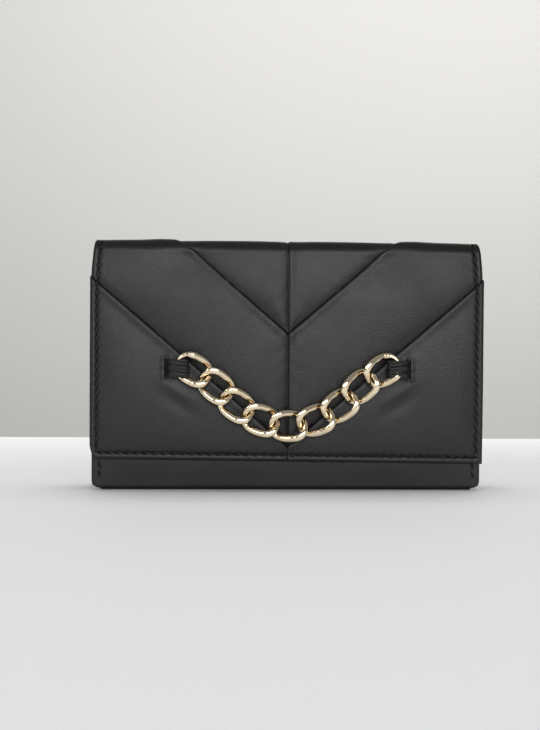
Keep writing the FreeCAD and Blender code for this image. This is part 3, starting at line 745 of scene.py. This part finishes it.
def caseHeight(foldEnd, length, seed, tuck=0.0):
    # soft leather over board: stitch grooves near the sides, round edges and a slow wave
    def height(x, s):
        look = caseLook
        side = wallet["caseHalf"] - np.abs(x)
        hole = 0.5 - 0.5 * np.cos(2 * np.pi * (s - foldEnd - look["stitchFoot"]) / stitchLook["pitch"])
        onWall = smoothStep(s, foldEnd + 1, foldEnd + 5)
        total = look["puff"] * smoothStep(side, 4, 16) * smoothStep(s, foldEnd, foldEnd + 14)
        groove = look["grooveDeep"] + look["holeDeep"] * hole ** 2
        total -= groove * dome(side, look["stitchInset"], look["grooveWide"]) * onWall
        total += look["rowSwell"] * (1 - hole) * dome(side, look["stitchInset"] + 1.5, 1.1) * onWall
        total += look["rimRise"] * dome(side, 1.9, 1.0) * onWall
        total -= roundedEdge(side, look["edgeRound"]) + roundedEdge(length - s, look["topRound"])
        total -= tuck * np.clip(1 - s / 20, 0, 1) ** 1.3
        wave = np.sin(x / 15.3 + seed) * np.sin(s / 18.1 + seed * 2)
        wave += 0.6 * np.sin(x / 9.1 + s / 12.3 + seed)
        return total + look["ripple"] * wave * smoothStep(side, 4, 14) * smoothStep(s, foldEnd, foldEnd + 12)
    return height


def caseInner(wallStart, wallEnd):
    def inner(x, s):
        side = wallet["caseHalf"] - np.abs(x)
        onWall = smoothStep(s, wallStart, wallStart + 4) * (1 - smoothStep(s, wallEnd - 4, wallEnd))
        turned = (1 - smoothStep(side, 0.8, 1.05)) * onWall
        return -wallet["leather"] - (caseLook["rimTurn"] - wallet["leather"]) * turned
    return inner


def makeCaseSkin(name, skin, nodes):
    look = caseLook
    half = wallet["caseHalf"]
    flatWidth = 2 * half
    length = skin["route"].length
    bm = flatSheet(flatWidth, length, look["step"])
    for offset in look["edgeRows"] + look["grooveRows"]:
        cutLine(bm, (half - offset, 0), (1, 0))
        cutLine(bm, (offset - half, 0), (1, 0))
    for offset in look["edgeRows"]:
        cutLine(bm, (0, length - offset), (0, 1))
    for number in range(1, 12):
        cutLine(bm, (0, skin["foldStart"] + number * look["foldStep"]), (0, 1))
    thicken(bm)
    piece = finished(bm, name)
    wrap(piece, skin)
    dress(piece, "black_leather")
    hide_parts(*nodes)
    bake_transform(piece)


baseFront = caseLow.y
backFlat = wallet["back"] - wallet["footRoll"] - baseFront
quarter = math.pi / 2


def backStretches(end):
    # under the base, round the foot, up the back and over the top to a place of the spine
    return [
        ("run", backFlat, 0), ("turn", wallet["footRoll"], 90),
        ("run", wallet["rollFoot"] - wallet["footRoll"], 0), ("turn", wallet["topRoll"], 90),
        ("run", wallet["back"] - wallet["topRoll"] - end, 0)]


backRoute = Route((baseFront, 0), 0, -1, backStretches(wallet["backSeam"]))
backFoldEnd = backFlat + quarter * wallet["footRoll"]
backWallEnd = backFoldEnd + wallet["rollFoot"] - wallet["footRoll"]
backSkin = {
    "route": backRoute, "across": caseAcross(backRoute), "foldStart": backFlat,
    "height": caseHeight(backFoldEnd, backRoute.length, 0.7), "inner": caseInner(backFoldEnd, backWallEnd),
}
makeCaseSkin("backLeather", backSkin, ["back_panel"])

pocketFlat = 0.1
pocketFold = pocketHigh.y + pocketFlat
pocketRoute = Route((pocketFold, 0), 180, 1, [
    ("run", pocketFlat, 0), ("turn", wallet["footRoll"], -90),
    ("run", wallet["pocketTop"] - wallet["footRoll"], 0)])
pocketFoldEnd = pocketFlat + quarter * wallet["footRoll"]
pocketSkin = {
    "route": pocketRoute, "across": caseAcross(pocketRoute), "foldStart": pocketFlat,
    "height": caseHeight(pocketFoldEnd, pocketRoute.length, 2.2, caseLook["pocketTuck"]),
    "inner": caseInner(pocketFoldEnd, pocketRoute.length + 8),
}
makeCaseSkin("pocketLeather", pocketSkin, ["front_panel"])

bodyColumn = wallet["caseHalf"] - caseLook["stitchInset"]
backSpots = []
pocketSpots = []
for side in (-1, 1):
    low = backFoldEnd + caseLook["stitchFoot"]
    backSpots += seamSpots(low, low + caseLook["backCount"] * stitchLook["pitch"], side * bodyColumn, 1)
    low = pocketFoldEnd + caseLook["stitchFoot"]
    pocketSpots += seamSpots(low, low + caseLook["pocketCount"] * stitchLook["pitch"], side * bodyColumn, 1)
sew("backStitches", backSkin, backSpots, "case", "back_stitching")
sew("pocketStitches", pocketSkin, pocketSpots, "front_pocket", "front_stitching")
print("case: back leather, pocket leather and their stitching")


chainLook = {
    "tilts": (-30, -40, -34, -18, 0, 18, 34, 40, 30), "long": 18.8, "wide": 14.6, "wire": 2.3, "twist": 2.4,
    "square": 2.4, "steps": 64, "sides": 14, "fat": 1.14, "broad": 0.34, "endCalm": 0.85,
    "filed": 2.7, "filedTo": 0.4, "nudge": 0.02,
}


def linkLine(t, calmSide):
    # the middle line of a link: a squarish oval twisted out of its plane, calm where a tab holds it
    look = chainLook
    power = 2 / look["square"]
    flat = np.stack((
        (look["long"] - look["wire"]) / 2 * np.sign(np.cos(t)) * np.abs(np.cos(t)) ** power,
        (look["wide"] - look["wire"]) / 2 * np.sign(np.sin(t)) * np.abs(np.sin(t)) ** power), axis=1)
    held = smoothStep(np.cos(t) * calmSide, 0.35, 0.8) if calmSide else 0 * t
    out = look["twist"] * np.sin(2 * t) * (1 - look["endCalm"] * held)
    return np.stack((flat[:, 0], out, flat[:, 1]), axis=1)


def makeLink(number, tilt):
    look = chainLook
    low, high = spot(f"chain_link_{number}")
    x, y, z = (low + high) / 2
    ringRadius = 10.0
    bm = bmesh.new()
    bmesh.ops.create_circle(bm, segments=look["sides"], radius=look["wire"] * look["fat"] / 2)
    bmesh.ops.translate(bm, vec=(ringRadius, 0, 0), verts=bm.verts)
    bmesh.ops.spin(bm, geom=bm.verts[:] + bm.edges[:], cent=(0, 0, 0), axis=(0, 1, 0), dvec=(0, 0, 0),
                   angle=2 * math.pi, steps=look["steps"], use_merge=True)
    bmesh.ops.remove_doubles(bm, verts=bm.verts, dist=0.0005)
    bmesh.ops.recalc_face_normals(bm, faces=bm.faces)
    piece = finished(bm, f"chainLink{number}")
    ring = np.zeros(len(piece.data.vertices) * 3)
    piece.data.vertices.foreach_get("co", ring)
    ring = ring.reshape(-1, 3) / mm
    t = np.arctan2(ring[:, 2], ring[:, 0])
    calmSide = {1: -1, len(look["tilts"]): 1}.get(number, 0)
    sideways = np.hypot(ring[:, 0], ring[:, 2]) - ringRadius
    middle = linkLine(t, calmSide)
    tangent = linkLine(t + look["nudge"], calmSide) - linkLine(t - look["nudge"], calmSide)
    tangent /= np.linalg.norm(tangent, axis=1)[:, None]
    plane = np.stack((tangent[:, 2], 0 * t, -tangent[:, 0]), axis=1)
    plane /= np.linalg.norm(plane, axis=1)[:, None]
    across = np.cross(plane, tangent)
    wideness = 1 + look["broad"] * np.sin(t) ** 2
    bent = middle + plane * (sideways * wideness)[:, None] - across * ring[:, 1][:, None]
    # the wire's front and back are filed flatter where they stand out
    beyond = np.abs(bent[:, 1]) - look["filed"]
    filed = np.sign(bent[:, 1]) * (look["filed"] + beyond * look["filedTo"])
    bent[:, 1] = np.where(beyond > 0, filed, bent[:, 1])
    angle = math.radians(tilt)
    turned = np.stack((
        x + bent[:, 0] * math.cos(angle) - bent[:, 2] * math.sin(angle),
        y + bent[:, 1],
        z + bent[:, 0] * math.sin(angle) + bent[:, 2] * math.cos(angle)), axis=1)
    piece.data.vertices.foreach_set("co", (turned * mm).ravel())
    piece.data.update()
    dress(piece, "chain_gold")
    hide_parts(f"chain_link_{number}")
    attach(piece, "chain")


for number, tilt in enumerate(chainLook["tilts"], 1):
    makeLink(number, tilt)
print("chain: nine twisted links")


strapLook = {
    "wide": 8.6, "middle": 58.5, "thick": 1.15, "slit": flapLook["slitX"] + 0.9, "depth": -14.9,
    "lead": 245.0, "nose": 1.9, "step": 0.35, "edgeRound": 0.45, "crease": 0.3, "blendLong": 5.5,
    "edgeRows": (0.08, 0.22, 0.45),
    "run": 4.9, "bend": 4.5, "over": 3.1, "back": 3.3, "returnBend": 6.0, "returnTurn": 35.0, "tail": 3.4,
}


def makeStrap(name, side, nodes):
    look = strapLook
    route = Route((look["slit"], look["depth"]), look["lead"], 1, [
        ("run", look["run"], 0), ("turn", look["bend"], 180 - look["lead"]), ("run", look["over"], 0),
        ("turn", look["nose"], -180), ("run", look["back"], 0),
        ("turn", look["returnBend"], look["returnTurn"]), ("run", look["tail"], 0)])
    half = look["wide"] / 2

    def height(x, s):
        edge = half - np.abs(x)
        over = dome(s, look["run"] + look["bend"] + 2.5, 4.0)
        crease = look["crease"] * np.sin(x * 1.9 + 0.7 * np.sin(s * 0.6)) * (0.4 + over)
        crease += 0.03 * np.sin(x * 4.9 + s * 0.9)
        return look["thick"] / 2 + crease - roundedEdge(edge, look["edgeRound"])

    def inner(x, s):
        return height(x, s) * 0.25 - look["thick"] / 2 - 0.1

    skin = {
        "route": route, "height": height, "inner": inner, "order": (1, 2, 0), "mirror": (side, 1, 1),
        "across": lambda x, s: look["middle"] + x,
    }
    bm = flatSheet(look["wide"], route.length, look["step"])
    for offset in look["edgeRows"]:
        cutLine(bm, (half - offset, 0), (1, 0))
        cutLine(bm, (offset - half, 0), (1, 0))
    thicken(bm)
    piece = finished(bm, name)
    wrap(piece, skin)
    faceOut(piece)
    dress(piece, "black_leather")
    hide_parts(*nodes)
    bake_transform(piece)


for sideName, side in (("left", -1), ("right", 1)):
    makeStrap("tabStrap" + sideName.title(), side, ["tab_root_" + sideName, "tab_loop_" + sideName])
print("tabs: two leather straps")


liningLook = {"near": 2.42, "far": 3.0, "step": 2.2, "foldStep": 1.1, "ripple": 0.09, "edge": 0.6}


def makeLining(name, base, low, high, half, nodes, calm):
    # a woven sheet on the inner side of a skin, from low to high along its route
    look = liningLook

    def inner(x, s):
        wave = np.sin(x / 11.7 + 0.8) * np.sin(s / 9.3) + 0.5 * np.sin(x / 6.1 + s / 14.1)
        free = smoothStep(half - np.abs(x), 1, 6) * smoothStep(s, low, low + 5) * smoothStep(high - s, 0, 4)
        return -look["far"] + look["ripple"] * wave * free * calm(s)

    skin = dict(base, height=lambda x, s: np.full(len(x), -look["near"]), inner=inner)
    skin["across"] = lambda x, s: x
    bm = flatSheet(2 * half, high - low, look["step"], start=low)
    for edge in (low, high):
        inward = 1 if edge == low else -1
        cutLine(bm, (0, edge + inward * look["edge"]), (0, 1))
    for number in range(1, 9):
        cutLine(bm, (0, skin["finerFrom"] + number * look["foldStep"]), (0, 1))
    thicken(bm)
    piece = finished(bm, name)
    wrap(piece, skin)
    dress(piece, "lining_fabric")
    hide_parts(*nodes)
    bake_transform(piece)


spineMiddle = (wallet["flapFace"] + wallet["back"]) / 2
flapLiningHalf = spot("flap_lining")[1].x
flapLiningEnd = flapRun + rollLong + spineMiddle - wallet["flapFace"] - wallet["topRoll"]
makeLining(
    "flapLining", dict(flapSkin, finerFrom=flapRun), 0.7, flapLiningEnd, flapLiningHalf,
    ["flap_lining", "spine_lining"],
    lambda s: 1 - smoothStep(s, flapRun - 6, flapRun))
liningRoute = Route((baseFront, 0), 0, -1, backStretches(spineMiddle))
innerLow, innerHigh = spot("back_lining")
footGap = innerLow.z - wallet["footRoll"]
makeLining(
    "backLining", {"route": liningRoute, "finerFrom": backWallEnd}, backFoldEnd + footGap,
    liningRoute.length - 0.1, innerHigh.x, ["back_lining"],
    lambda s: smoothStep(s, backFoldEnd + 94, backFoldEnd + 98) * 0.8)
makeLining(
    "pocketLining", {"route": pocketRoute, "finerFrom": pocketFoldEnd}, pocketFoldEnd + footGap,
    pocketRoute.length - 0.15, innerHigh.x, ["front_lining"],
    lambda s: 0.4 + 0 * s)
print("linings: flap, back and front pocket")


def makeLeaf(node, name, slot, facing, wave, step, rounding):
    # an upright leaf inside the case, from a node's box: it faces the front (-1) or the back (1)
    low, high = spot(node)
    tall = high.z - low.z
    thick = high.y - low.y
    half = high.x
    route = Route((low.y if facing < 0 else high.y, low.z), 90, -facing, [("run", tall, 0)])

    def swell(x, s):
        slow = np.sin(x / 21 + low.z) * 0.6 + np.sin(x / 12.5 + s / 17) * 0.4
        held = smoothStep(half - np.abs(x), 0, 14) * smoothStep(s, 0, 12) * smoothStep(tall - s, 1, 14)
        return wave * (0.6 + 0.4 * slow) * held

    def height(x, s):
        return swell(x, s) - roundedEdge(np.minimum(half - np.abs(x), tall - s), rounding)

    skin = {
        "route": route, "across": lambda x, s: x, "height": height,
        "inner": lambda x, s: swell(x, s) - thick,
    }
    bm = flatSheet(2 * half, tall, step)
    for offset in (0.08, 0.25, rounding):
        cutLine(bm, (half - offset, 0), (1, 0))
        cutLine(bm, (offset - half, 0), (1, 0))
        cutLine(bm, (0, tall - offset), (0, 1))
    thicken(bm)
    piece = finished(bm, name)
    wrap(piece, skin)
    dress(piece, slot)
    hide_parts(node)
    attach(piece, "case")
    return skin, half, tall


makeLeaf("divider_front", "coinWallFront", "lining_fabric", -1, 0.35, 2.5, 0.3)
makeLeaf("divider_back", "coinWallBack", "lining_fabric", 1, 0.14, 2.5, 0.3)
makeLeaf("zip_tape_front", "zipTapeFront", "zip_tape", -1, 0.0, 2.5, 0.15)
makeLeaf("zip_tape_back", "zipTapeBack", "zip_tape", 1, 0.0, 2.5, 0.15)
for number in (1, 2, 3):
    skin, half, tall = makeLeaf(f"card_slot_{number}", f"cardSlot{number}", "inner_leather", -1,
                                0.28 if number == 3 else 0.0, 2.0, 0.4)
    sew(f"cardSlotHem{number}", skin, seamSpots(-half + 4, half - 4, tall - 2.6, 0), "case", slant=0)
    visible = 10.0 if number < 3 else tall - 5
    sew(f"cardSlotSplit{number}", skin, seamSpots(tall - visible, tall - 5, 0, 1), "case", slant=0)
print("inside: coin pocket walls, zip tapes and card slots")


gussetLook = {
    "round": 0.7, "thick": 0.66, "step": 1.0, "foldStep": 0.2, "bulge": 0.28, "edgeRound": 0.4,
    "foldInset": 0.4, "sideInset": 0.42, "stripInset": 0.3, "stripDeep": 3.4,
}


def makeGusset(name, side, low, high, slot, node=None, moves=False):
    look = gussetLook
    tall = high.z - low.z
    outerX = max(abs(low.x), abs(high.x))
    foldX = min(abs(low.x), abs(high.x)) + look["foldInset"]
    firstY = low.y + look["sideInset"]
    lastY = high.y - look["sideInset"]
    reach = math.hypot(outerX - foldX, (lastY - firstY) / 2)
    heading = math.degrees(math.atan2((lastY - firstY) / 2, foldX - outerX))
    turn = 180 - 2 * heading
    used = look["round"] * math.tan(math.radians(abs(turn)) / 2)
    route = Route((outerX, firstY), heading, 1, [
        ("run", reach - used, 0), ("turn", look["round"], turn), ("run", reach - used, 0)])

    def middle(x, s):
        share = s / route.length
        soft = 1 + 0.4 * np.sin(x / 9.0 + 3 * share)
        return -look["bulge"] * min(1, reach / 6) * np.abs(np.sin(2 * np.pi * share)) * soft

    def height(x, s):
        fall = 0.5 * roundedEdge(tall / 2 - np.abs(x), look["edgeRound"])
        return middle(x, s) + look["thick"] / 2 - fall

    skin = {
        "route": route, "height": height, "order": (1, 2, 0), "mirror": (side, 1, 1),
        "across": lambda x, s: low.z + tall / 2 + x,
        "inner": lambda x, s: middle(x, s) - look["thick"] / 2,
    }
    bm = flatSheet(tall, route.length, look["step"])
    for number in range(1, 8):
        cutLine(bm, (0, reach - used + number * look["foldStep"]), (0, 1))
    thicken(bm)
    piece = finished(bm, name)
    wrap(piece, skin)
    faceOut(piece)
    dress(piece, slot)
    if node:
        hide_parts(node)
    if moves:
        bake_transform(piece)
    else:
        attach(piece, "case")


coinFront = spot("divider_front")
coinBack = spot("divider_back")
for sideName, side in (("left", -1), ("right", 1)):
    for place, moves in (("front", True), ("back", False)):
        node = f"gusset_{place}_{sideName}"
        name = "gusset" + place.title() + sideName.title()
        makeGusset(name, side, *spot(node), "inner_leather", node, moves)
    # the coin pocket's own sides, closed by a narrow folded strip between its walls
    outside = coinFront[1].x - gussetLook["stripInset"]
    low = Vector((outside - gussetLook["stripDeep"], coinFront[1].y, coinFront[0].z))
    high = Vector((outside, coinBack[0].y, coinFront[1].z - 1))
    makeGusset("coinPocketSide" + sideName.title(), side, low, high, "lining_fabric")
print("sides: four folding gussets and two strips")


metalLook = {"bevelOver": 35.0, "creaseOver": 28.0, "weld": 0.0008}


def soften(node, name, slot, body, width, segments=2):
    # a hard piece with its edges rounded off
    bm = bmesh.new()
    bm.from_mesh(frame["nodes"][node].data)
    bmesh.ops.scale(bm, vec=(1 / mm, 1 / mm, 1 / mm), verts=bm.verts)
    bmesh.ops.remove_doubles(bm, verts=bm.verts, dist=metalLook["weld"])
    bmesh.ops.dissolve_limit(bm, angle_limit=math.radians(1), verts=bm.verts, edges=bm.edges)
    sharp = math.radians(metalLook["bevelOver"])
    edges = [edge for edge in bm.edges if len(edge.link_faces) == 2 and edge.calc_face_angle() > sharp]
    bmesh.ops.bevel(bm, geom=edges, offset=width, offset_type="OFFSET", affect="EDGES", segments=segments,
                    profile=0.5, material=-1, clamp_overlap=True)
    bmesh.ops.triangulate(bm, faces=[face for face in bm.faces if len(face.verts) > 4])
    piece = finished(bm, name)
    piece.data.set_sharp_from_angle(angle=math.radians(metalLook["creaseOver"]))
    dress(piece, slot)
    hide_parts(node)
    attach(piece, body)


soften("zip_slider", "zipSlider", "zip_metal", "zip_slider", 0.22)
soften("zip_pull", "zipPull", "zip_metal", "zip_pull", 0.22)
soften("zip_teeth_front", "zipTeethFront", "zip_metal", "case", 0.16, 1)
soften("zip_teeth_back", "zipTeethBack", "zip_metal", "case", 0.16, 1)
soften("zip_stops", "zipStops", "zip_metal", "case", 0.2)
soften("snap_socket", "snapSocket", "snap_metal", "front_pocket", 0.2)
soften("snap_stud", "snapStud", "snap_metal", "flap", 0.2)
print("metal: zip and snap fastener")
